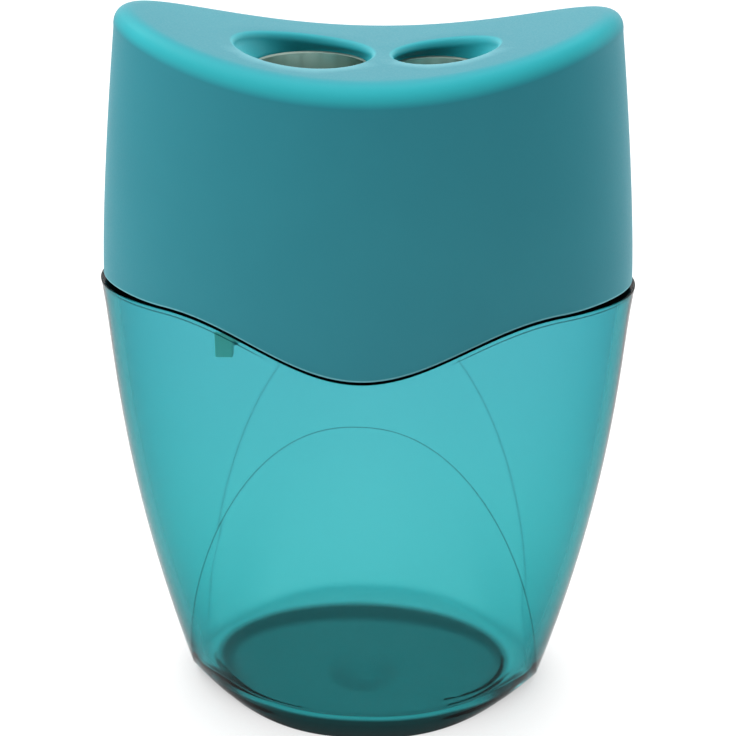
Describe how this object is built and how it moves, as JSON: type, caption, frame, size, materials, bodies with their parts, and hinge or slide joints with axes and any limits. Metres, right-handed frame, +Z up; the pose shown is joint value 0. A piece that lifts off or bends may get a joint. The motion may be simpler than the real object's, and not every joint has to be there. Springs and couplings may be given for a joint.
{
  "type": "hand-held pencil sharpener",
  "caption": "Hand-held canister pencil sharpener: oval saddle-topped cap with a large and a small pencil opening over a translucent flared shavings receptacle.",
  "frame": {"origin": "middle of the base, on the surface that the receptacle stands on", "axes": "+X across the wide side towards the small opening, -Y to the front, +Z up"},
  "size_m": [0.0548, 0.0288, 0.0756],
  "materials": {
    "cap_plastic": "opaque teal, fine matt grain",
    "clear_plastic": "translucent teal, glossy",
    "holder_plastic": "opaque teal, plain",
    "block_metal": "machined light alloy",
    "blade_steel": "ground steel",
    "screw_steel": "plated steel"
  },
  "bodies": {
    "canister": {"receptacle": "clear_plastic"},
    "head": {"cap_shell": "cap_plastic", "block_holder": "holder_plastic", "sharpener_block": "block_metal", "large_blade": "blade_steel", "small_blade": "blade_steel", "large_blade_screw": "screw_steel", "small_blade_screw": "screw_steel"}
  },
  "joints": [
    {"name": "head_lift", "type": "slide", "parent": "canister", "child": "head", "axis": [0, 0, 1], "range_m": [0, 0.03]}
  ]
}
